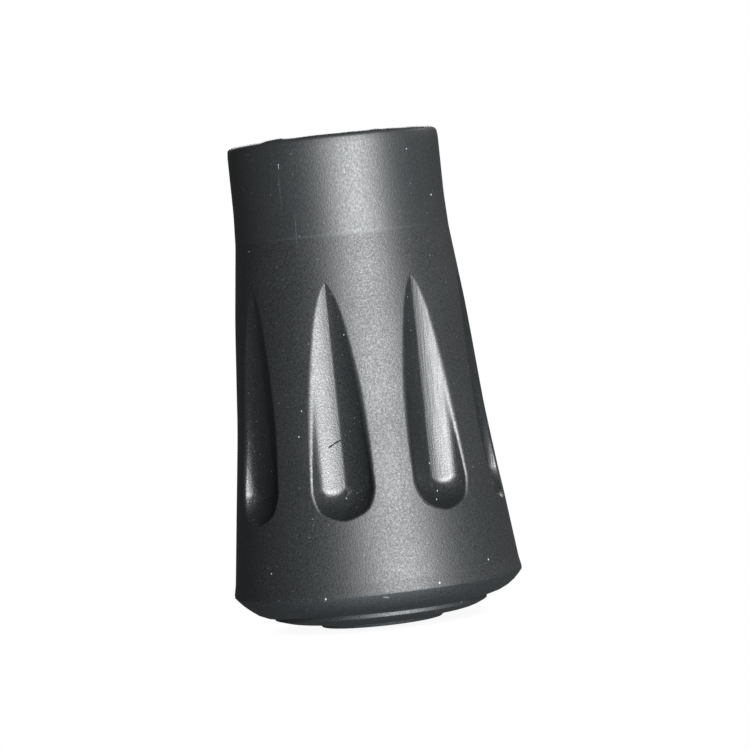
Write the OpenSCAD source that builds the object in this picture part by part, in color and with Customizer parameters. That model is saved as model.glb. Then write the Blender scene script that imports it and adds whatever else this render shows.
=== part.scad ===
// Rubber tip for the end of a walking pole or cane, moulded in one piece.
// Millimetres. The origin is the centre of the flat tread pad, which lies on z = 0;
// +Z runs up the pole. The body is one revolve: a domed and stepped underside, a
// sharp rim, a flaring skirt and a straight neck. Pointed flutes with bowl-shaped
// lower ends are cut down its sides, and a blind bore takes the end of the pole.

/* [Overall] */
// Height from the tread pad to the top edge
overall_h = 50; // [46:0.5:60]
// Diameter over the sharp rim
rim_d = 29.66; // [28:0.1:36]
// Diameter of the straight neck
neck_d = 21.7; // [18:0.1:24]

/* [Body] */
// Height of the rim edge above the tread pad
rim_z = 3.94; // [3.6:0.02:4.8]
// Height of the upright land on the rim
rim_land = 0.3; // [0.15:0.05:0.6]
// How far the rim stands out from the foot of the skirt
lip_out = 0.2; // [0.05:0.05:0.4]
// Height over which the skirt turns out to the rim
lip_rise = 0.95; // [0.6:0.05:2]
// Height of the bend between the skirt and the body
hip_z = 21; // [18:0.5:25]
// How far the body stands out from the neck at that bend
hip_out = 1.92; // [1.6:0.02:2.4]
// Height of the bend between the body and the shoulder
waist_z = 32; // [28:0.5:36]
// How far the body stands out from the neck at the waist
waist_out = 1; // [0.85:0.01:1.2]
// Height of the soft crease where the shoulder starts
belt_z = 39.75; // [37.5:0.25:42]
// How far the body stands out from the neck at the belt
belt_out = 0.15; // [0.05:0.01:0.3]
// Length of the gentle taper above the belt
belt_taper = 3.25; // [2:0.25:4]
// Radius that blends the waist and hip bends
bend_r = 90; // [40:5:120]
// Radius that blends the belt crease
belt_r = 10; // [4:1:20]
// Radius rounding the outside of the top edge
top_edge_r = 0.25; // [0.1:0.05:0.6]

/* [Underside] */
// Diameter of the flat tread pad
pad_d = 12.1; // [9:0.1:15]
// How far the pad stands below the inner dome
pad_step = 0.34; // [0.3:0.02:0.5]
// Radius rounding the edge of the pad
pad_edge_r = 0.22; // [0.1:0.02:0.28]
// Diameter at the foot of the ring step
ring_d = 21.6; // [18:0.1:23]
// Height of the foot of the ring step
ring_z = 1.36; // [1.25:0.02:1.5]
// Height of the ring step
ring_step = 0.34; // [0.2:0.02:0.5]
// How far the ring step leans outwards
ring_lean = 0.15; // [0.05:0.05:0.4]
// Width of the steep outer part of the inner dome
inner_dome_w = 0.9; // [0.6:0.05:1.5]
// Height of the corner that the inner dome is rounded from
inner_dome_z = 0.84; // [0.7:0.02:1]
// Radius rounding that corner
inner_dome_r = 4.4; // [2:0.2:5.4]
// Width of the steep outer part of the outer dome
outer_dome_w = 1.3; // [1:0.05:1.7]
// Height of the corner that the outer dome is rounded from
outer_dome_z = 2.33; // [2.1:0.02:2.6]
// Radius rounding that corner
outer_dome_r = 4.6; // [2:0.2:5.6]

/* [Flutes] */
// Number of flutes around the body
flute_count = 8; // [5:1:10]
// How far the flute crease stands out from the neck
crease_out = 0.75; // [0.3:0.05:0.95]
// Radius of the two hollow flanks of a flute
flank_r = 6.1; // [5:0.1:7.4]
// Lean of each flank where the two meet in the crease
crease_tilt = 9; // [3:0.5:12]
// Height of the centre of the bowl that ends the flute
bowl_z = 15.8; // [13.1:0.1:19]

/* [Bore] */
// Diameter of the bore for the pole
bore_d = 11; // [8:0.1:13.4]
// Solid rubber left under the end of the pole
sole_h = 14; // [10:0.5:18]
// Chamfer at the mouth of the bore
mouth_chamfer = 0.8; // [0.4:0.1:1.4]

/* [Hidden] */
rubber = [0.11, 0.112, 0.118];
facets = 96;
// Turn in one step of a rounded corner, in degrees, and the fewest steps it takes
arc_step = 7;
min_arc_steps = 3;
// Share of an edge that the rounding of a corner may use up
whole_edge = 0.98;
half_edge = 0.49;
// How far a cutter reaches past what it cuts
clear = 1;

neck_r = neck_d / 2;
rim_r = rim_d / 2;
ring_r = ring_d / 2;
crease_r = neck_r + crease_out;
flute_reach = rim_r - crease_r + clear;
bore_h = overall_h - sole_h;

// Outside of the body from the tread pad up: [radius, height, rounding of the corner]
outside = [
    [0, 0, 0],
    [pad_d / 2, 0, pad_edge_r],
    [pad_d / 2, pad_step, 0],
    [ring_r - inner_dome_w, inner_dome_z, inner_dome_r],
    [ring_r, ring_z, 0],
    [ring_r + ring_lean, ring_z + ring_step, 0],
    [rim_r - outer_dome_w, outer_dome_z, outer_dome_r],
    [rim_r, rim_z, 0],
    [rim_r, rim_z + rim_land, 0],
    [rim_r - lip_out, rim_z + rim_land + lip_rise, 0],
    [neck_r + hip_out, hip_z, bend_r],
    [neck_r + waist_out, waist_z, bend_r],
    [neck_r + belt_out, belt_z, belt_r],
    [neck_r, belt_z + belt_taper, 0],
    [neck_r, overall_h, top_edge_r],
    [0, overall_h, 0]
];

function flat(p) = [p[0], p[1]];
function unit(v) = v / norm(v);
function room(p, q) = norm(flat(q) - flat(p)) * (q[2] > 0 ? half_edge : whole_edge);
function turned(v, angle) = [
    v[0] * cos(angle) - v[1] * sin(angle),
    v[0] * sin(angle) + v[1] * cos(angle)
];

// Corner p between its neighbours a and b, as the points of the arc that rounds it
function rounded(a, p, b) =
    p[2] == 0 ? [flat(p)] :
    let (
        u = unit(flat(a) - flat(p)),
        v = unit(flat(b) - flat(p)),
        half = acos(u * v) / 2,
        tangent = min(p[2] / tan(half), room(p, a), room(p, b)),
        centre = flat(p) + unit(u + v) * tangent / cos(half),
        start = flat(p) + u * tangent - centre,
        turn = (180 - 2 * half) * sign(u[1] * v[0] - u[0] * v[1]),
        steps = max(min_arc_steps, ceil(abs(turn) / arc_step))
    )
    [for (i = [0 : steps]) centre + turned(start, turn * i / steps)];

module body_blank() {
    last = len(outside) - 1;
    rotate_extrude($fn = facets) polygon([
        for (i = [0 : last])
            each rounded(outside[max(i - 1, 0)], outside[i], outside[min(i + 1, last)])
    ]);
}

// Half of a flute's section: x across the flute, y outwards from its crease
module flute_half() {
    intersection() {
        translate([-flank_r * sin(crease_tilt), flank_r * cos(crease_tilt)])
            circle(r = flank_r, $fn = facets);
        square([flank_r, flute_reach]);
    }
}

// One flute: an upright groove above the bowl height, a bowl of the same section below
module flute_cutter() {
    translate([crease_r, 0, bowl_z]) {
        linear_extrude(height = overall_h - bowl_z) rotate(-90) {
            flute_half();
            mirror([1, 0]) flute_half();
        }
        rotate([0, 90, 0]) rotate(-90)
            rotate_extrude(angle = 180, $fn = facets) flute_half();
    }
}

module pole_bore() {
    flare = mouth_chamfer + clear;
    translate([0, 0, sole_h]) cylinder(d = bore_d, h = bore_h + clear, $fn = facets);
    translate([0, 0, overall_h - mouth_chamfer])
        cylinder(d1 = bore_d, d2 = bore_d + 2 * flare, h = flare, $fn = facets);
}

module rubber_tip() {
    color(rubber) difference() {
        body_blank();
        for (i = [0 : flute_count - 1]) rotate(i * 360 / flute_count) flute_cutter();
        pole_bore();
    }
}

rubber_tip();
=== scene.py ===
# %% [markdown]
# A rubber tip for the foot of a walking cane, about 50 mm tall. The real one is a single
# compression-moulded piece of black rubber: a straight neck with a blind bore for the cane,
# a flaring body with eight pointed flutes, and a domed, stepped tread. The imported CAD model
# gives its size and its place. This lesson builds the visible surface over it as one closed
# mesh, gives it the finish of moulded rubber with light wear, and lights it like a product
# on white.

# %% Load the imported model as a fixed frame
import bpy
import numpy as np
from math import atan2, cos, hypot, pi, radians, sin, sqrt, tan
from mathutils import Matrix, Vector


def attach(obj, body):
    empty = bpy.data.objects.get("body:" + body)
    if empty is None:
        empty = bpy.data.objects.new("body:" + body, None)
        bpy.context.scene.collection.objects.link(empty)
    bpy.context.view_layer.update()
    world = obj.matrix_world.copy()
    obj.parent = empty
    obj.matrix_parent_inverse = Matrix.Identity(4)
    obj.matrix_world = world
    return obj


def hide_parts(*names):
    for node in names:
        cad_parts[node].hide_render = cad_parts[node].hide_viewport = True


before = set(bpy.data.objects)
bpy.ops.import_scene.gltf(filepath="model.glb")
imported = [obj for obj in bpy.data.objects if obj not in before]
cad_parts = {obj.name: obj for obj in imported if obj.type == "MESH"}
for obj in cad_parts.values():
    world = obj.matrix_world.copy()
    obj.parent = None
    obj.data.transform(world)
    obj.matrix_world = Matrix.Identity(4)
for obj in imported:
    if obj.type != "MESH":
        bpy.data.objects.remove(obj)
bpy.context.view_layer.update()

# %% [markdown]
# The outside of the tip is lathe work before its flutes are cut, so everything starts from
# one outline: the radius at each height. A mould drawing gives such an outline as corners,
# each with its own rounding, and so does this list. Sizes stay in millimetres up to the
# point where a mesh is made, because that is how the part would be measured on a bench.

# %% The outline as corners: radius, height, rounding
MM = 0.001
HEIGHT = 50.0
NECK_R = 10.85
RIM_R = 14.83
BORE_R = 5.5
SOLE_H = 14.0
MOUTH = 0.8
outside = [
    (6.2, 0.0, 0.06), (6.48, 0.34, 0.05), (9.9, 0.84, 4.4), (10.97, 1.38, 0.08),
    (10.95, 1.78, 0.06), (13.53, 2.33, 4.6), (RIM_R, 3.94, 0.1), (RIM_R, 4.24, 0.15),
    (14.63, 5.19, 2.0), (12.77, 21.0, 90.0), (11.85, 32.0, 90.0), (11.0, 39.75, 10.0),
    (NECK_R, 43.0, 30.0), (NECK_R, 48.9, 3.0), (10.74, HEIGHT, 0.6),
]
inside = [
    (BORE_R + MOUTH, HEIGHT, 0.08), (BORE_R, HEIGHT - MOUTH, 0.08), (BORE_R, SOLE_H, 0.3),
]
corners = [(0.0, 0.0, 0.0)] + outside + inside + [(0.0, SOLE_H, 0.0)]
print("corners in the outline:", len(corners))

# %% [markdown]
# A rounded corner is an arc that leaves one straight side and joins the next without a
# kink. Its centre lies on the line that halves the corner, and short chords stand in for
# the arc. With 12 degrees a chord, smooth shading hides the steps.

# %% Turn the corners into outline points
ARC_STEP = radians(12)
FEWEST_CHORDS = 3
ABOVE_LIP = 4.5
BELOW_SKIN = 0.3


def rounded(a, p, b):
    """Corner p between a and b as the points of the arc that rounds it."""
    here = np.array(p[:2])
    u = np.array(a[:2]) - here
    v = np.array(b[:2]) - here
    u, v = u / hypot(*u), v / hypot(*v)
    half = np.arccos(np.clip(u @ v, -1, 1)) / 2
    centre = here + (u + v) / hypot(*(u + v)) * p[2] / sin(half)
    start = here + u * p[2] / tan(half) - centre
    turn = (pi - 2 * half) * np.sign(u[1] * v[0] - u[0] * v[1])
    steps = max(FEWEST_CHORDS, int(abs(turn) / ARC_STEP) + 1)
    angles = turn * np.arange(steps + 1) / steps
    return [centre + np.array([start[0] * cos(t) - start[1] * sin(t),
                               start[0] * sin(t) + start[1] * cos(t)]) for t in angles]


outline = [np.zeros(2)]
for a, p, b in zip(corners, corners[1:], corners[2:]):
    outline += rounded(a, p, b)
outline = np.array(outline + [np.array([0.0, SOLE_H])])
rim_to_top = outline[(outline[:, 0] > NECK_R - BELOW_SKIN) & (outline[:, 1] > ABOVE_LIP)]


def body_r(z):
    """Radius of the body at height z, between the rim and the neck."""
    return float(np.interp(z, rim_to_top[:, 1], rim_to_top[:, 0]))


print("outline points:", len(outline), "radius at 20 mm:", round(body_r(20), 3))

# %% [markdown]
# A flute is a groove with a crease down its middle. From the crease a shallow hollow flank
# runs out on each side, and near the edge it turns up in a tighter arc, the wall. The two
# arcs meet without a kink, so the section reads as one curve that steepens. The crease
# leans out a little on its way up, and the body narrows, so the groove gets thinner and
# ends in a point without anything being drawn for it.

# %% The section of a flute
FLUTES = 8
CREASE_R = 11.28
CREASE_LEAN = radians(0.58)
CREASE_TILT = radians(7)
FLANK_R = 6.85
FLANK_W = 2.0
WALL_R = 1.9
BELOW_UPRIGHT = 0.9999
flank_across = FLANK_R * sin(CREASE_TILT)
toe_sin = (FLANK_W + flank_across) / FLANK_R
toe_cos = sqrt(1 - toe_sin ** 2)
wall_end = FLANK_W + WALL_R * (1 - toe_sin)


def rise(q):
    """How far the section stands out from the crease at distance q across the flute."""
    if q <= FLANK_W:
        return FLANK_R * cos(CREASE_TILT) - sqrt(FLANK_R ** 2 - (q + flank_across) ** 2)
    x = min(q - FLANK_W + WALL_R * toe_sin, BELOW_UPRIGHT * WALL_R)
    toe = FLANK_R * (cos(CREASE_TILT) - toe_cos)
    return toe + WALL_R * toe_cos - sqrt(WALL_R ** 2 - x * x)


print("half width of a flute:", round(wall_end, 2), "mm")
print("rise at the toe of the wall:", round(rise(FLANK_W), 3), "mm")

# %% [markdown]
# Below the foot of the crease the flute runs out to the skirt in a bowl-shaped end. A
# cutter that leaves its groove does the same: its section swings about a cross axis and
# climbs out in an arc, here one that starts at a slope of 20 degrees. That change of slope,
# rounded by a bend under 1 mm long, makes the sharp shadow across the foot of each flute.
# It sits lowest in the middle of each flank, so the lit part of a flank ends in a curve.

# %% Points on the flute's surface
CREASE_FOOT_Z = 14.15
RUNOUT_R = 4.4
RUNOUT_SLOPE = radians(20)
RUNOUT_SAG, SAG_MID, SAG_END, SAG_FADE = 0.27, 1.25, 2.4, 1.5
BEND = 0.35
NOT_QUITE_0 = 1e-9


def runout(h, below):
    """How far the floor of the flute climbs, for a section rise h, below the foot."""
    if below < -BEND:
        return 0.0
    start, left = RUNOUT_R * sin(RUNOUT_SLOPE), (RUNOUT_R - h) ** 2
    slope = start / sqrt(left - start ** 2)
    soft = slope * max(BEND - abs(below), 0.0) ** 2 / (4 * BEND)
    down = max(below, 0.0)
    return soft + sqrt(left - start ** 2) - sqrt(max(left - (start + down) ** 2, NOT_QUITE_0))


def flute_point(q, angle, z0):
    """Point at distance q from the crease, in a direction turned down by angle."""
    x, z = q * cos(angle), z0 - CREASE_FOOT_Z - q * sin(angle)
    h = rise(x)
    sag = RUNOUT_SAG * (min(abs(x), SAG_END) - SAG_MID) ** 2 * np.clip(1 + z / SAG_FADE, 0, 1)
    y = h + runout(h, sag - z)
    return np.array([x, CREASE_R + y * cos(CREASE_LEAN) + z * sin(CREASE_LEAN),
                     CREASE_FOOT_Z + z * cos(CREASE_LEAN) - y * sin(CREASE_LEAN)])


print("floor of the bowl 3 mm below the foot climbs", round(runout(0, 3), 2), "mm")

# %% [markdown]
# The flute ends where its surface comes out through the body. That place has no neat
# formula, but along any line from the crease it is easy to tell inside from outside, so
# halving the stretch between the two again and again closes in on it.

# %% Where the flute meets the body
WIDEST = 3.4
HALVINGS = 50


def body_point(phi, z):
    """Point on the body at turn phi from the middle of the flute."""
    return np.array([body_r(z) * sin(phi), body_r(z) * cos(phi), z])


def depth_at(q, angle, z0):
    """How far the flute's surface stands out of the body there, below 0 inside it."""
    p = flute_point(q, angle, z0)
    return hypot(p[0], p[1]) - body_r(p[2])


def edge_at(angle, z0):
    """Distance from the crease at which the flute's surface meets the body."""
    low, high = 0.0, wall_end if angle == 0 else WIDEST
    for _ in range(HALVINGS):
        mid = (low + high) / 2
        low, high = (mid, high) if depth_at(mid, angle, z0) < 0 else (low, mid)
    return low


print("half width at 25 mm:", round(edge_at(0, 25), 2), "mm")
print("bowl below the crease foot:", round(edge_at(pi / 2, CREASE_FOOT_Z), 2), "mm")

# %% [markdown]
# A Boolean would cut the flutes quickly, but it leaves ragged faces along the edge, just
# where the light catches the rubber. So one half of one flute is laid out as a grid whose
# lines run from the crease, over the rounded edge, to the ridge between two flutes. Each
# line gets the same number of points. The edge gets its own small curve, a cubic that
# leaves the wall and lands on the body without a kink. It is tightest at the bottom of the
# bowl, a little rounder along the sides, and roundest towards the point of the flute, where
# the rubber has filled the mould less sharply.

# %% One line of the grid
N_IN, N_EDGE, N_OUT = 18, 8, 10
EDGE_R_FOOT, EDGE_R, EDGE_R_TOP = 0.28, 0.37, 0.8
EDGE_FROM, EDGE_TO = 16.0, 24.0
EDGE_SHARE = 0.45
TINY = 0.02
GRADE = 2.2 ** 3


def to_border(start, phi_end, z_end, spread):
    """Body points from a start at (turn, height) to the border of the panel."""
    phi, z = start
    return [body_point(phi + (phi_end - phi) * s, z + (z_end - z) * s) for s in spread]


def edge_curve(start, leaving, end, along, handle):
    """Cubic curve from start to end, with handles of one length along both tangents."""
    near, far = start + leaving * handle, end - along * handle
    return [(1 - t) ** 3 * start + 3 * t * (1 - t) ** 2 * near
            + 3 * t * t * (1 - t) * far + t ** 3 * end
            for t in np.linspace(0, 1, N_EDGE + 1)[1:]]


def grid_line(angle, z0, phi_end, z_end, even):
    """From the crease over the edge to the border. Where even is 0, the outer points crowd."""
    outer = np.linspace(0, 1, N_OUT + 1)[1:]
    spread = even * outer + (1 - even) * (GRADE ** outer - 1) / (GRADE - 1)
    q_edge = edge_at(angle, z0) if depth_at(0, angle, z0) < 0 else 0.0
    if q_edge < TINY:
        on_crease = [body_point(0, z0)] * (N_IN + N_EDGE + 1)
        return on_crease + to_border((0, z0), phi_end, z_end, spread)
    corner = flute_point(q_edge, angle, z0)
    phi, z = atan2(corner[0], corner[1]), corner[2]
    wall = corner - flute_point(q_edge - TINY, angle, z0)
    along = body_point(phi + (phi_end - phi) * TINY, z + (z_end - z) * TINY) - corner
    stretch = np.linalg.norm(wall) / TINY
    wall, along = wall / np.linalg.norm(wall), along / np.linalg.norm(along)
    grown = np.clip((z0 - EDGE_FROM) / (EDGE_TO - EDGE_FROM), 0, 1)
    turn = np.arccos(np.clip(wall @ along, -1, 1))
    radius = EDGE_R_FOOT + (EDGE_R - EDGE_R_FOOT) * cos(angle) + (EDGE_R_TOP - EDGE_R) * grown
    tangent = min(radius * tan(turn / 2), EDGE_SHARE * q_edge)
    q_in = q_edge - tangent / stretch
    inner = [flute_point(q_in * s, angle, z0) for s in np.linspace(0, 1, N_IN + 1)]
    leaving = inner[-1] - flute_point(q_in - TINY, angle, z0)
    leaving = leaving / np.linalg.norm(leaving)
    landing = corner + along * tangent
    landed = atan2(landing[0], landing[1]), landing[2]
    landing = body_point(*landed)
    turn = np.arccos(np.clip(leaving @ along, -1, 1))
    handle = np.linalg.norm(landing - inner[-1]) / (3 * cos(turn / 4) ** 2)
    edge = edge_curve(inner[-1], leaving, landing, along, handle)
    return inner + edge + to_border(landed, phi_end, z_end, spread)


print("points on each line:", N_IN + N_EDGE + 1 + N_OUT)

# %% [markdown]
# The lines stack from above the point of the flute down to the foot of the crease, and then
# fan out round the bowl like the ribs of a shell. Near the point they lie closer together,
# because the edge turns quickly there, and so they do where the floor bends to run out.

# %% Half of one flute as a stack of lines
PANEL_TOP, PANEL_FOOT = 38.0, 7.0
HALF_STEP = pi / FLUTES
N_ABOVE, N_ROWS, N_BEND, N_SIDE, N_FOOT = 8, 42, 8, 14, 10
CROWDING = 1.25
BEND_ROOM = 3 * BEND


def flute_tip():
    """Height at which the leaning crease meets the body."""
    low, high = CREASE_FOOT_Z, PANEL_TOP
    for _ in range(HALVINGS):
        mid = (low + high) / 2
        inside_body = body_r(mid) > CREASE_R + (mid - CREASE_FOOT_Z) * tan(CREASE_LEAN)
        low, high = (mid, high) if inside_body else (low, mid)
    return low


apex = flute_tip()
lines = []
for z in np.linspace(PANEL_TOP, apex, N_ABOVE, endpoint=False):
    lines.append(grid_line(0, z, HALF_STEP, z, (z - apex) / (PANEL_TOP - apex)))
for s in np.linspace(0, 1, N_ROWS, endpoint=False):
    z = apex - (apex - CREASE_FOOT_Z - BEND_ROOM) * s ** CROWDING
    lines.append(grid_line(0, z, HALF_STEP, z, 0))
for s in np.linspace(BEND_ROOM, 0, N_BEND, endpoint=False):
    lines.append(grid_line(0, CREASE_FOOT_Z + s, HALF_STEP, CREASE_FOOT_Z + s, 0))
drop = (PANEL_FOOT - CREASE_FOOT_Z) / N_SIDE
for i in range(N_SIDE):
    fan = pi / 2 * i / (N_SIDE + N_FOOT)
    lines.append(grid_line(fan, CREASE_FOOT_Z, HALF_STEP, CREASE_FOOT_Z + drop * i, 0))
for i in range(N_FOOT + 1):
    fan = pi / 2 * (N_SIDE + i) / (N_SIDE + N_FOOT)
    lines.append(grid_line(fan, CREASE_FOOT_Z, HALF_STEP * (1 - i / N_FOOT), PANEL_FOOT, 0))
half_panel = np.array(lines)
print("half panel:", half_panel.shape, "point of the flute at", round(apex, 2), "mm")

# %% [markdown]
# The grid starts as Blender's own Grid primitive with as many points, which then take the
# places worked out above. A point attribute remembers which points lie in the flute. The
# material reads it later, because the flutes of the mould were finished in another way
# than its turned body.

# %% Lay a grid primitive over the points
MOULDING = "rubber_tip_moulding"


def deselect():
    """Leave nothing selected, because every operator acts on what is selected."""
    if bpy.context.object and bpy.context.object.mode != "OBJECT":
        bpy.ops.object.mode_set(mode="OBJECT")
    bpy.ops.object.select_all(action="DESELECT")


deselect()
rows, columns = half_panel.shape[:2]
bpy.ops.mesh.primitive_grid_add(x_subdivisions=columns - 1, y_subdivisions=rows - 1, size=1)
panel = bpy.context.object
panel.name = MOULDING
panel.data.vertices.foreach_set("co", (half_panel * MM).ravel())
flute_share = np.zeros((rows, columns))
flute_share[N_ABOVE:, :N_IN + 1] = 1
flute_share[N_ABOVE:, N_IN:N_IN + N_EDGE] = np.linspace(1, 0, N_EDGE)
mask = panel.data.attributes.new("in_flute", "FLOAT", "POINT")
mask.data.foreach_set("value", flute_share.ravel())
print(panel.name, "vertices:", len(panel.data.vertices))

# %% [markdown]
# The other half of the flute is its mirror image, and eight flutes go round the body. A
# Mirror and an Array modifier make them from the one half, and merge the points that fall
# together. The Array turns each copy by the turn of an empty, which is then thrown away.

# %% Mirror the half and copy the flute round the body
MERGE = 1e-6


def apply_modifier(obj, kind, **settings):
    """Adds a modifier with its settings and applies it at once."""
    modifier = obj.modifiers.new(kind.lower(), kind)
    for name, value in settings.items():
        setattr(modifier, name, value)
    bpy.ops.object.modifier_apply(modifier=modifier.name)


apply_modifier(panel, "MIRROR", use_axis=(True, False, False), use_mirror_merge=True,
               merge_threshold=MERGE)
bpy.ops.object.empty_add(rotation=(0, 0, 2 * pi / FLUTES))
turn_by = bpy.context.object
deselect()
panel.select_set(True)
bpy.context.view_layer.objects.active = panel
apply_modifier(panel, "ARRAY", count=FLUTES, use_relative_offset=False,
               use_object_offset=True, offset_object=turn_by, use_merge_vertices=True,
               use_merge_vertices_cap=True, merge_threshold=MERGE)
bpy.data.objects.remove(turn_by)
print("fluted band:", len(panel.data.polygons), "faces")

# %% [markdown]
# Above and below the fluted band the body is plain lathe work. A ring of edges is extruded
# from point to point of the outline and scaled to each new radius, as one would do by hand,
# and closed to a single point on the axis. The ring has as many points as the border of
# the fluted band, so the parts meet point for point.

# %% Lathe work as a ring extruded from point to point
COLUMNS = 2 * FLUTES * N_FOOT
ON_AXIS = 1e-6


def lathe(name, points):
    """A ring extruded along the outline points, closed at the axis."""
    deselect()
    (r, z), rest = points[0], points[1:]
    bpy.ops.mesh.primitive_circle_add(vertices=COLUMNS, radius=r * MM, location=(0, 0, z * MM))
    ring = bpy.context.object
    ring.name = name
    bpy.ops.object.transform_apply()
    bpy.ops.object.mode_set(mode="EDIT")
    bpy.ops.mesh.select_all(action="SELECT")
    for r_next, z_next in rest:
        bpy.ops.mesh.extrude_region_move(
            TRANSFORM_OT_translate={"value": (0, 0, (z_next - z) * MM)})
        if r_next < ON_AXIS:
            bpy.ops.mesh.merge(type="CENTER")
            break
        bpy.ops.transform.resize(value=(r_next / r, r_next / r, 1), center_override=(0, 0, 0))
        r, z = r_next, z_next
    bpy.ops.object.mode_set(mode="OBJECT")
    return ring


print("points round the ring:", COLUMNS)

# %% [markdown]
# The outline is cut in two for this. The upper part runs from the fluted band over the top
# edge and down the bore, the lower part from the band round the lip and under the tread.
# Long straight stretches are split, so that faces stay compact and shade evenly.

# %% The neck with its bore, and the skirt with its tread
NECK_STEP, FOOT_STEP = 0.6, 0.4


def split_long(points, longest):
    """The same outline with no step longer than given."""
    result = [points[0]]
    for p, q in zip(points, points[1:]):
        n = max(1, int(hypot(*(q - p)) / longest))
        result += [p + (q - p) * i / n for i in range(1, n + 1)]
    return result


first_in_bore = np.argmax(outline[:, 1] == outline[:, 1].max())
top_part = [p for i, p in enumerate(outline) if p[1] > PANEL_TOP or i > first_in_bore]
top_part = [np.array([body_r(PANEL_TOP), PANEL_TOP])] + top_part
foot_part = [p for p in outline[:first_in_bore] if p[1] < PANEL_FOOT][::-1]
foot_part = [np.array([body_r(PANEL_FOOT), PANEL_FOOT])] + foot_part
neck = lathe("neck", split_long(top_part, NECK_STEP))
foot = lathe("foot", split_long(foot_part, FOOT_STEP))
print("neck faces:", len(neck.data.polygons), "foot faces:", len(foot.data.polygons))

# %% [markdown]
# The three parts become one closed skin: joined, with doubled points merged and the faces
# turned outwards. A closed skin has no open edge, and that is checked by letting Blender
# select any edge that doesn't lie between two faces.

# %% Join the parts into one closed skin
deselect()
for obj in (neck, foot, panel):
    obj.select_set(True)
bpy.context.view_layer.objects.active = panel
bpy.ops.object.join()
bpy.ops.object.mode_set(mode="EDIT")
bpy.ops.mesh.select_all(action="SELECT")
bpy.ops.mesh.remove_doubles(threshold=2 * MERGE)
bpy.ops.mesh.dissolve_degenerate(threshold=MERGE)
bpy.ops.mesh.normals_make_consistent(inside=False)
bpy.ops.mesh.select_all(action="DESELECT")
bpy.ops.mesh.select_non_manifold()
bpy.ops.object.mode_set(mode="OBJECT")
tip = panel
open_edges = sum(edge.select for edge in tip.data.edges)
print("open edges:", open_edges, "faces:", len(tip.data.polygons))

# %% [markdown]
# No real moulding is as true as its drawing. The top edge wavers by a few hundredths of a
# millimetre. On one side it has sunk a little, and two scraps of flash, where rubber crept
# between the parts of the mould, stand on it. The tread is worn on that side, so its ring
# step fades there. All of these are small moves of the finished mesh's own points, weighted
# by where they lie. Waves with whole numbers of turns close up round the edge.

# %% Uneven top edge
VIEW_TURN = radians(11.1)
FIN = [(-7.3, -0.1), (-6.9, -0.05), (-6.6, 0.03), (-5.9, 0.06), (-4.95, 0.1), (-4.75, 0),
       (3.9, 0), (4.1, 0.07), (4.5, 0.03), (4.8, 0.04), (5.0, 0)]
FIN_BACK = -3.0
RAGGED = 0.02
RAGGED_WAVES = (11, 17, 29, 43)
SEED = 7
FAINTEST_WAVE = 0.2
WAVES_TOGETHER = 2.5
TOP_BAND = 0.6
MOVED = 0.01

points = np.empty(3 * len(tip.data.vertices))
tip.data.vertices.foreach_get("co", points)
points = points.reshape(-1, 3) / MM
radius = np.hypot(points[:, 0], points[:, 1])
across = points[:, 0] * cos(VIEW_TURN) + points[:, 1] * sin(VIEW_TURN)
towards = points[:, 0] * sin(VIEW_TURN) - points[:, 1] * cos(VIEW_TURN)


def fade(value, start, end):
    """0 before start, 1 past end, smooth between."""
    t = np.clip((value - start) / (end - start), 0, 1)
    return t * t * (3 - 2 * t)


on_edge = fade(points[:, 2], HEIGHT - TOP_BAND, HEIGHT)
fin = np.interp(across, *zip(*FIN)) * fade(towards, FIN_BACK, 0)
rng = np.random.default_rng(SEED)
turn_about = np.arctan2(across, towards)
ragged = 0.0
for n in RAGGED_WAVES:
    size = rng.uniform(FAINTEST_WAVE, 1)
    ragged = ragged + size * np.sin(n * turn_about + rng.uniform(0, 2 * pi))
points[:, 2] += on_edge * (fin - RAGGED * (1 + ragged / WAVES_TOGETHER))
print("points moved by the flash:", int((on_edge * abs(fin) > MOVED).sum()))

# %% [markdown]
# Wear takes most where the tip touches the ground as it is set down, which is one side of
# the ring step. The wear fades round the tread, and in from and out to its neighbours. The
# skin is then handed to the frame: it rides on the one body, and replaces its plain solid.
# Edges sharper than 16 degrees stay crisp, as they do on a fresh moulding.

# %% Worn tread, and the finished piece
WORN_DEPTH = 0.35
WORN_AT, WORN_W = 12.0, 2.4
WORN_TOP = 3.4
WORN_FACING = 0.55
CORE_R = 1
CRISP = radians(16)

worn_side = fade(-across / np.maximum(radius, CORE_R), WORN_FACING, 1)
worn = np.exp(-((radius - WORN_AT) / WORN_W * 2) ** 2) * worn_side * (points[:, 2] < WORN_TOP)
points[:, 2] -= WORN_DEPTH * worn
tip.data.vertices.foreach_set("co", (points * MM).ravel())
tip.data.update()
deselect()
tip.select_set(True)
bpy.context.view_layer.objects.active = tip
bpy.ops.object.shade_smooth_by_angle(angle=CRISP)
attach(tip, "root")
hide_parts("rubber_tip")
print("points moved by wear:", int((WORN_DEPTH * worn > MOVED).sum()))

# %% [markdown]
# Moulded rubber is filled with carbon black, so hardly any light comes from inside it. All
# that the eye gets is the sheen of its skin: near black in the shade, a broad grey glow
# where it mirrors the light. Base Color is therefore almost black, and Roughness, Bump and
# a few light specks do the work. Two small functions help: one turns a hex colour into the
# linear values that a shader needs, and one adds a node with its settings and links. A node
# can be linked as it stands, and then its first live output is meant. The inputs of Mix go
# by number: 0 is the share, 2 and 3 are the two values, and 6 and 7 the two colours.

# %% Helpers for materials


def linear(hex_colour):
    """An sRGB hex colour as linear red, green, blue and alpha."""
    values = [int(hex_colour[i:i + 2], 16) / 255 for i in (1, 3, 5)]
    return [v / 12.92 if v <= 0.04045 else ((v + 0.055) / 1.055) ** 2.4 for v in values] + [1]


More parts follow.
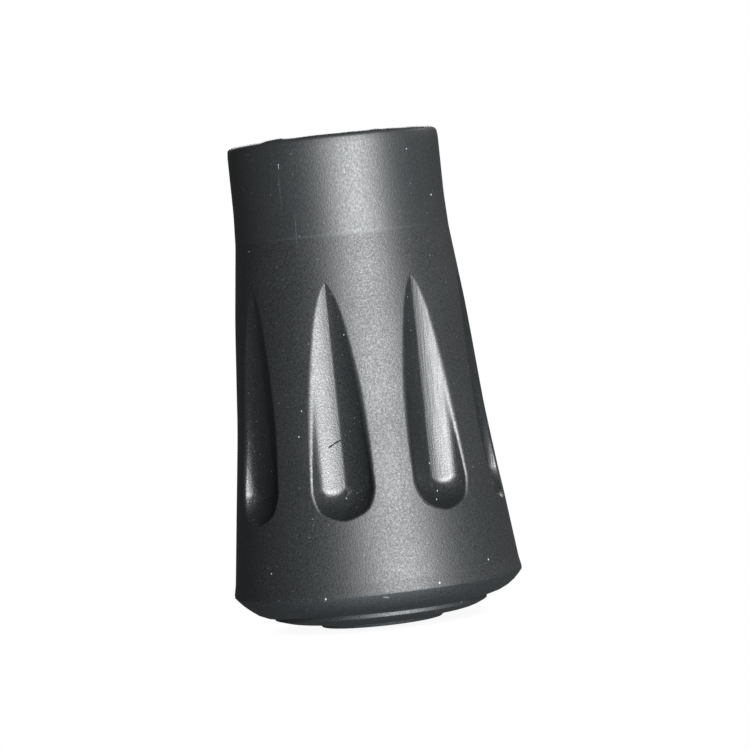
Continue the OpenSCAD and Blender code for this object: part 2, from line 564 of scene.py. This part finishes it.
def add(tree, kind, links=None, **settings):
    """Adds a node of a kind with its settings, and links its inputs by name or number."""
    node = tree.nodes.new("ShaderNode" + kind)
    for name, value in settings.items():
        setattr(node, name, value)
    for socket, source in (links or {}).items():
        if isinstance(source, bpy.types.Node):
            source = next(output for output in source.outputs if output.enabled)
        if isinstance(source, bpy.types.NodeSocket):
            tree.links.new(source, node.inputs[socket])
        else:
            node.inputs[socket].default_value = source
    return node


print("mid grey, linear:", round(linear("#808080")[0], 3))

# %% [markdown]
# The skin is not the same all over. The mould was turned, and its body was left with a fine
# grit, about 0.17 mm from grain to grain. The neck is a little smoother. The flutes were
# polished lengthwise, most in their lower ends, and some flanks show the strokes more than
# others. Masks say where each finish is: the flutes by their point attribute, the rest by
# height or by side. A range that runs backwards gives a mask that grows downwards.

# %% Rubber: where each finish lies
RUBBER_IOR = 1.45
BELT_FROM, BELT_TO = 39.6 * MM, 40.0 * MM
DRAWN_FROM, DRAWN_TO = -2 * MM, 2 * MM
FOOT_FROM, FOOT_TO = 24 * MM, 16 * MM

rubber = bpy.data.materials.new("black_rubber_compression_moulded")
rubber.use_nodes = True
tree = rubber.node_tree
shader = tree.nodes["Principled BSDF"]
shader.inputs["IOR"].default_value = RUBBER_IOR
place = add(tree, "TexCoord").outputs["Object"]
height = add(tree, "SeparateXYZ", {"Vector": place}).outputs["Z"]
in_neck = add(tree, "MapRange", {"Value": height, "From Min": BELT_FROM, "From Max": BELT_TO})
in_flute = add(tree, "Attribute", attribute_name="in_flute").outputs["Fac"]
front = add(tree, "Mapping", {"Vector": place, "Rotation": (0, 0, -VIEW_TURN)})
front_xyz = add(tree, "SeparateXYZ", {"Vector": front})
drawn = add(tree, "MapRange", {"Value": front_xyz.outputs["X"], "From Min": DRAWN_FROM,
                               "From Max": DRAWN_TO})
at_foot = add(tree, "MapRange", {"Value": height, "From Min": FOOT_FROM, "From Max": FOOT_TO})
print("belt line at", BELT_FROM / MM, "to", BELT_TO / MM, "mm")

# %% [markdown]
# Each grain is a Noise texture on Object coordinates. Dividing the coordinates by the size
# of a grain, across and along, gives that size in millimetres, and a long size along the
# height draws the grains out into streaks. The neck's grain is calmed towards the middle
# of the noise. In the flutes the streaks are mixed with the body's plain grain, more of it
# on the left than on the right. Mixing by the masks gives one height field.

# %% Rubber: grain and polishing streaks
GRAIN_BODY = (0.17, 0.17)
GRAIN_NECK = (0.17, 0.27)
GRAIN_FLUTE = (0.19, 2.6)
GRAIN_DETAIL, GRAIN_ROUGHNESS = 1.5, 0.6
MID = 0.5
NECK_CALM = 0.3
PLAIN_LEFT, PLAIN_RIGHT = 0.85, 0.4


def grain(size, detail=GRAIN_DETAIL):
    """Noise with grains of the given size, across and along the height, in millimetres."""
    across_mm, along_mm = size
    per_grain = (1 / (across_mm * MM), 1 / (across_mm * MM), 1 / (along_mm * MM))
    scaled = add(tree, "VectorMath", {0: place, 1: per_grain}, operation="MULTIPLY")
    return add(tree, "TexNoise", {"Vector": scaled, "Scale": 1.0, "Detail": detail,
                                  "Roughness": GRAIN_ROUGHNESS})


body_grain = grain(GRAIN_BODY)
neck_grain = add(tree, "Mix", {0: NECK_CALM, 2: grain(GRAIN_NECK), 3: MID})
turned_grain = add(tree, "Mix", {0: in_neck, 2: body_grain, 3: neck_grain})
plain = add(tree, "Mix", {0: drawn, 2: PLAIN_LEFT, 3: PLAIN_RIGHT})
streaks = add(tree, "Mix", {0: plain, 2: grain(GRAIN_FLUTE), 3: body_grain})
skin = add(tree, "Mix", {0: in_flute, 2: turned_grain, 3: streaks})
print("grains, mm:", GRAIN_BODY, GRAIN_NECK, GRAIN_FLUTE)

# %% [markdown]
# Roughness sets how far the glow of the lights spreads. Rubber starts from about 0.5. The
# grained body sits a little above that, and the neck and the polished flutes below, lowest
# at the feet of the flutes and where the strokes show. The grains also vary it, because a
# worn top of a grain is smoother than the pit beside it. Without that, the middle of the
# glow would look airbrushed. Patches some millimetres wide vary it a little more.

# %% Rubber: roughness of each finish
ROUGH_BODY = 0.52
ROUGH_NECK = 0.49
ROUGH_FLUTE = 0.43
FOOT_POLISH, DRAWN_POLISH = 0.05, 0.025
ROUGH_SPREAD = 0.45
PATCH_MM = 5.0
PATCH_DETAIL = 0.0
PATCH_SPREAD = 0.06

flute_finish = ROUGH_FLUTE
for where, less in ((at_foot, FOOT_POLISH), (drawn, DRAWN_POLISH)):
    polish = add(tree, "Math", {0: where, 1: less}, operation="MULTIPLY")
    flute_finish = add(tree, "Math", {0: flute_finish, 1: polish}, operation="SUBTRACT")
turned_finish = add(tree, "Mix", {0: in_neck, 2: ROUGH_BODY, 3: ROUGH_NECK})
roughness = add(tree, "Mix", {0: in_flute, 2: turned_finish, 3: flute_finish})
patches = grain((PATCH_MM, PATCH_MM), PATCH_DETAIL)
for noise, spread in ((skin, ROUGH_SPREAD), (patches, PATCH_SPREAD)):
    off_mid = add(tree, "Math", {0: noise, 1: MID}, operation="SUBTRACT")
    varied = add(tree, "Math", {0: off_mid, 1: spread}, operation="MULTIPLY")
    roughness = add(tree, "Math", {0: roughness, 1: varied}, operation="ADD")
print("roughness body, neck, flute:", ROUGH_BODY, ROUGH_NECK, ROUGH_FLUTE)

# %% [markdown]
# Some marks have their own places: dust in the skin, two faint scratches down the neck, a
# scuff on the foot, nicks in the rim, and a short cut across a flute. The belt line, where two
# parts of the mould met, is a painted highlight: a pale line for the glint of its ridge. The
# cut and the nicks get painted shade, pure black for the dark inside them. Each mark is an
# ellipse, drawn by a Mapping node that moves, turns and scales the coordinates until the
# ellipse becomes a ball of radius 1. Painting them on an image would need a map of the whole
# skin for a handful of tiny marks.

# %% Rubber: dust, scratches, painted belt highlight, nicks and the cut
SOFT = 0.6
DUST_L, DUST_W = 0.6, 0.8
DUST = [(-5.59, 47.43, 0.1), (7.35, 47.74, 0.1), (9.41, 42.93, 0.12), (-9.52, 39.13, 0.1),
        (-10.59, 6.75, 0.12), (-5.37, 3.98, 0.17), (6.05, 4.4, 0.15), (11.23, 5.85, 0.12),
        (-5.85, 22.7, 0.12), (-6.38, 20.18, 0.12), (-0.84, 29.87, 0.1), (-2.3, 13.59, 0.1),
        (6.84, 13.28, 0.11), (6.66, 12.49, 0.11), (6.34, 16.09, 0.1)]
SCRATCHES = [(-5.7, 45.0, 2.4, 0.05, 90, 0.05), (-4.52, 40.7, 2.2, 0.05, 88, 0.07),
             (-5.6, 47.2, 0.3, 0.05, 88, 0.4)]
SCUFF = [(0.62, 3.6, 0.4, 0.1, -12, 0.3)]
# The belt line is a painted highlight: a pale line that stands in for the glint of the mould's
# parting ridge.
BELT_HIGHLIGHT = [(0.5, 39.95, 9.0, 0.2, 0, 0.025)]
# The cut and the nicks are carved by bump, made fully rough, and given painted shade: pure black
# colour for the dark inside them.
CUT = [(-3.27, 18.93, 0.34, 0.08, 31, 1.0), (-2.6, 19.27, 0.46, 0.08, 23, 1.0)]
NICKS = [(-10.3, 3.95, 0.14, 0.07, 35, 1.0), (-7.7, 4.0, 0.12, 0.07, 35, 1.0)]
is_front = add(tree, "Math", {0: front_xyz.outputs["Y"], 1: 0.0}, operation="LESS_THAN")


def marks(rows):
    """Mask of ellipses on the front: across, height, half length, half width, turn, strength."""
    total = 0.0
    for x, z, half_l, half_w, lean, strength in rows:
        local = add(tree, "Mapping", {"Vector": front, "Location": (x * MM, 0, z * MM),
                                      "Rotation": (0, -radians(lean), 0),
                                      "Scale": (half_l * MM, 1, half_w * MM)},
                    vector_type="TEXTURE")
        off = add(tree, "VectorMath", {0: local}, operation="LENGTH")
        spot = add(tree, "MapRange", {"Value": off, "From Min": 1.0, "From Max": SOFT,
                                      "To Max": strength})
        total = add(tree, "Math", {0: total, 1: spot}, operation="MAXIMUM")
    return add(tree, "Math", {0: total, 1: is_front}, operation="MULTIPLY")


dust_spots = [(x, z, DUST_L * r, DUST_W * r, 0, 1.0) for x, z, r in DUST]
# Dust, scratches, the scuff and the painted belt highlight; below them the cut and the nicks,
# which also carry painted shade.
dust_and_highlight_marks = marks(dust_spots + SCRATCHES + SCUFF + BELT_HIGHLIGHT)
cut_and_nick_shade_mask = marks(CUT + NICKS)
print("dust spots:", len(DUST), "other marks:", len(SCRATCHES + SCUFF + BELT_HIGHLIGHT + CUT + NICKS))

# %% [markdown]
# The smallest light specks are filler that lies bare in the skin. They are everywhere, so a
# sparse Voronoi pattern draws them: a spot round the middle of each cell, kept only where
# the cell's own random colour is high.

# %% Rubber: fine specks
SPECK_CELL = 0.55
SPECK_R = 0.16
SPECK_KEPT = 0.72

cells = add(tree, "TexVoronoi", {"Vector": place, "Scale": 1 / (SPECK_CELL * MM)})
near = add(tree, "MapRange", {"Value": cells.outputs["Distance"], "From Min": SPECK_R,
                              "From Max": SPECK_R * SOFT})
cell_colour = add(tree, "SeparateColor", {"Color": cells.outputs["Color"]})
kept = add(tree, "MapRange", {"Value": cell_colour.outputs["Red"], "From Min": SPECK_KEPT,
                              "From Max": 1.0})
specks = add(tree, "Math", {0: near, 1: kept}, operation="MULTIPLY")
print("speck cell:", SPECK_CELL, "mm")

# %% [markdown]
# Bump turns the height field of the grains into tiny slopes that sparkle in the light. It
# is calmed at the very top, where the edge was trimmed smooth. The cut and the nicks go in
# several grains deep, and their torn walls are fully rough. They are too small to be worth
# a mesh of their own.

# %% Rubber: relief
BUMP_HEIGHT = 0.026 * MM
SMOOTH_FROM, SMOOTH_TO = 49.3 * MM, 49.8 * MM
CUT_DEPTH = 6.0
CUT_ROUGH = 1.0

smooth_top = add(tree, "MapRange", {"Value": height, "From Min": SMOOTH_FROM,
                                    "From Max": SMOOTH_TO})
calmed = add(tree, "Mix", {0: smooth_top, 2: skin, 3: MID})
carved = add(tree, "Math", {0: cut_and_nick_shade_mask, 1: CUT_DEPTH}, operation="MULTIPLY")
relief = add(tree, "Math", {0: calmed, 1: carved}, operation="SUBTRACT")
bump = add(tree, "Bump", {"Strength": 1.0, "Distance": BUMP_HEIGHT, "Height": relief})
torn = add(tree, "Mix", {0: cut_and_nick_shade_mask, 2: roughness, 3: CUT_ROUGH})
tree.links.new(bump.outputs["Normal"], shader.inputs["Normal"])
tree.links.new(torn.outputs[0], shader.inputs["Roughness"])
print("full height of the grain:", round(BUMP_HEIGHT / MM, 3), "mm")

# %% [markdown]
# The colours last: carbon black with a cold cast, a touch greyer on the neck, where fine
# powder from the mould's release agent stays in the skin. The tops of the grains are rubbed
# greyer than the pits between them, so the same noise mixes two blacks. Pale grey dust lies
# over both, and the same grey paints a highlight along the belt line. The cut and the nicks
# are painted pure black, as painted shade for the dark inside them.

# %% Rubber: colour
BLACK_PIT, BLACK_TOP = linear("#070808"), linear("#191b1c")
NECK_PIT, NECK_TOP = linear("#0a0b0b"), linear("#1d1f20")
# Grey of the dust, also used for the painted highlight of the belt line.
DUST_AND_HIGHLIGHT_GREY = linear("#b9bfc4")
# Painted shade for the inside of the cut and the nicks.
CUT_SHADE_BLACK = linear("#000000")
SPECK_STRENGTH = 0.10
MARK_STRENGTH = 0.42

pit = add(tree, "Mix", {0: in_neck, 6: BLACK_PIT, 7: NECK_PIT}, data_type="RGBA")
top = add(tree, "Mix", {0: in_neck, 6: BLACK_TOP, 7: NECK_TOP}, data_type="RGBA")
base = add(tree, "Mix", {0: body_grain, 6: pit, 7: top}, data_type="RGBA")
# Painted shade: the cut and the nicks are coloured pure black.
shaded_cut = add(tree, "Mix", {0: cut_and_nick_shade_mask, 6: base, 7: CUT_SHADE_BLACK}, data_type="RGBA")
faint = add(tree, "Math", {0: specks, 1: SPECK_STRENGTH}, operation="MULTIPLY")
strong = add(tree, "Math", {0: dust_and_highlight_marks, 1: MARK_STRENGTH}, operation="MULTIPLY")
dust_and_highlight = add(tree, "Math", {0: faint, 1: strong}, operation="MAXIMUM")
# Dust, specks and the painted belt highlight are laid over the colour.
colour = add(tree, "Mix", {0: dust_and_highlight, 6: shaded_cut, 7: DUST_AND_HIGHLIGHT_GREY}, data_type="RGBA")
tree.links.new(colour.outputs[2], shader.inputs["Base Color"])
tip.data.materials.clear()
tip.data.materials.append(rubber)
print("nodes in the rubber:", len(tree.nodes))

# %% [markdown]
# The tip stands on a plain pale sheet under a pale surround. A small soft shadow where it
# touches is all that ties it down, so the sheet glows white by itself and darkens only
# close to the tread, by Ambient Occlusion. It is hidden from the light paths of the rubber,
# because a white floor below would wash out the shaded tread. It lies a hundredth of a
# millimetre low, so that it never shares a plane with the tread.

# %% Floor
FLOOR_M = 6.0
GAP = 0.01 * MM
SHADOW_REACH = 1.5 * MM
SHADOW_GREY = linear("#f6f6f7")
WHITE = linear("#ffffff")
SHADOW_RAYS = 16

deselect()
bpy.ops.mesh.primitive_plane_add(size=FLOOR_M, location=(0, 0, -GAP))
floor = bpy.context.object
floor.name = "floor"
floor.visible_diffuse = floor.visible_glossy = floor.visible_shadow = False
paper = bpy.data.materials.new("white_paper")
paper.use_nodes = True
sheet = paper.node_tree
sheet.nodes.remove(sheet.nodes["Principled BSDF"])
open_sky = add(sheet, "AmbientOcclusion", {"Distance": SHADOW_REACH}, samples=SHADOW_RAYS)
tone = add(sheet, "Mix", {0: open_sky.outputs["AO"], 6: SHADOW_GREY, 7: WHITE},
           data_type="RGBA")
glow = add(sheet, "Emission", {"Color": tone})
sheet.links.new(glow.outputs[0], sheet.nodes["Material Output"].inputs["Surface"])
floor.data.materials.append(paper)
print("floor:", FLOOR_M, "m, shadow reaches", SHADOW_REACH / MM, "mm")

# %% [markdown]
# The world is white to the camera, and dim to the rubber, which mirrors it in its shaded
# sides. A Light Path node tells the two apart.

# %% Surround
SKY = 0.08

world = bpy.data.worlds.new("pale_surround")
bpy.context.scene.world = world
world.use_nodes = True
air = world.node_tree
seen = add(air, "LightPath").outputs["Is Camera Ray"]
level = add(air, "Mix", {0: seen, 2: SKY, 3: 1.0})
air.nodes["Background"].inputs["Color"].default_value = WHITE
air.links.new(level.outputs[0], air.nodes["Background"].inputs["Strength"])
bpy.context.scene.view_settings.view_transform = "Standard"
print("surround lights the rubber at", SKY)

# %% [markdown]
# One wide softbox stands low in front, a little to the right, and draws the tall soft glow
# down the neck and the skirt. Because it is low, upright faces are the brightest and the
# floor of each bowl stays dark, which makes the flutes read. The sheet under a real tip
# throws light up at its underside. The floor here is hidden from the rubber, so a faint,
# bluish area light below stands in for that. A small softbox lights the right edge from
# behind, and a weak one keeps the far side from going flat in other views. The colours of
# the lights are linear tints, because a light may be brighter than white in one channel.

# %% Softboxes
LOOK_AT = Vector((0, 0, HEIGHT / 2 * MM))
LIGHT_FAR = 0.8
COOL_WHITE = (0.985, 1.0, 1.018)
SHEET_BLUE = (0.89, 1.0, 1.1)
# name, degrees right of the camera, degrees up, width and height in metres, watts, tint
SOFTBOXES = [
    ("key_softbox", 19, 6, 0.58, 0.34, 32, COOL_WHITE),
    ("sheet_bounce", 8, -58, 0.9, 0.5, 9, SHEET_BLUE),
    ("edge_softbox", 120, 25, 0.14, 0.14, 1.1, COOL_WHITE),
    ("far_softbox", 182, 32, 0.5, 0.4, 5, COOL_WHITE),
]


def softbox(name, azimuth, elevation, wide, tall, power, tint):
    """An area light aimed at the tip, its azimuth counted from the camera to the right."""
    turn, lift = VIEW_TURN + radians(azimuth), radians(elevation)
    out = Vector((sin(turn) * cos(lift), -cos(turn) * cos(lift), sin(lift)))
    bpy.ops.object.light_add(type="AREA", location=LOOK_AT + out * LIGHT_FAR)
    light = bpy.context.object
    light.name = name
    light.rotation_euler = (-out).to_track_quat("-Z", "Y").to_euler()
    light.data.shape = "RECTANGLE"
    light.data.size, light.data.size_y = wide, tall
    light.data.energy = power
    light.data.color = tint
    return light


lights = [softbox(*row) for row in SOFTBOXES]
print("lights:", [light.name for light in lights])

# %% [markdown]
# The camera looks at the tip from slightly above its middle, close to level, and is rolled
# by 6 degrees, so the tip leans in the frame. Its place follows from the size of the tip in
# the frame: pixels for a millimetre at the axis give the distance, and the height at which
# horizontal edges look straight gives the height of the eye.

# %% Camera
AXIS_PX, CENTRE_PX, EYE_PX, PAD_PX = 356.7, 375.0, 263.0, 620.2
DISTANCE_PX, PX_PER_MM = 3750.0, 9.73
IMAGE_PX, SENSOR = 750, 36.0
ROLL = radians(6.0)
NEAREST_SEEN = 10 * MM

pitch = atan2(CENTRE_PX - EYE_PX, DISTANCE_PX)
focal_px = DISTANCE_PX / cos(pitch)
yaw = atan2(CENTRE_PX - AXIS_PX, focal_px)
distance = DISTANCE_PX / PX_PER_MM * MM
eye = Vector((distance * sin(VIEW_TURN), -distance * cos(VIEW_TURN),
              (PAD_PX - EYE_PX) / PX_PER_MM * MM))
heading = VIEW_TURN - yaw
forward = Vector((-sin(heading) * cos(pitch), cos(heading) * cos(pitch), -sin(pitch)))
right = Vector((cos(heading), sin(heading), 0))
up = right.cross(forward)
rolled_right = right * cos(ROLL) - up * sin(ROLL)
rolled_up = up * cos(ROLL) + right * sin(ROLL)
deselect()
bpy.ops.object.camera_add()
camera = bpy.context.object
axes = Matrix((rolled_right, rolled_up, -forward)).transposed().to_4x4()
camera.matrix_world = Matrix.Translation(eye) @ axes
camera.data.sensor_width = SENSOR
camera.data.lens = focal_px / IMAGE_PX * SENSOR
camera.data.clip_start = NEAREST_SEEN
bpy.context.scene.camera = camera
print("camera at", [round(v, 3) for v in eye], "lens", round(camera.data.lens, 1), "mm")
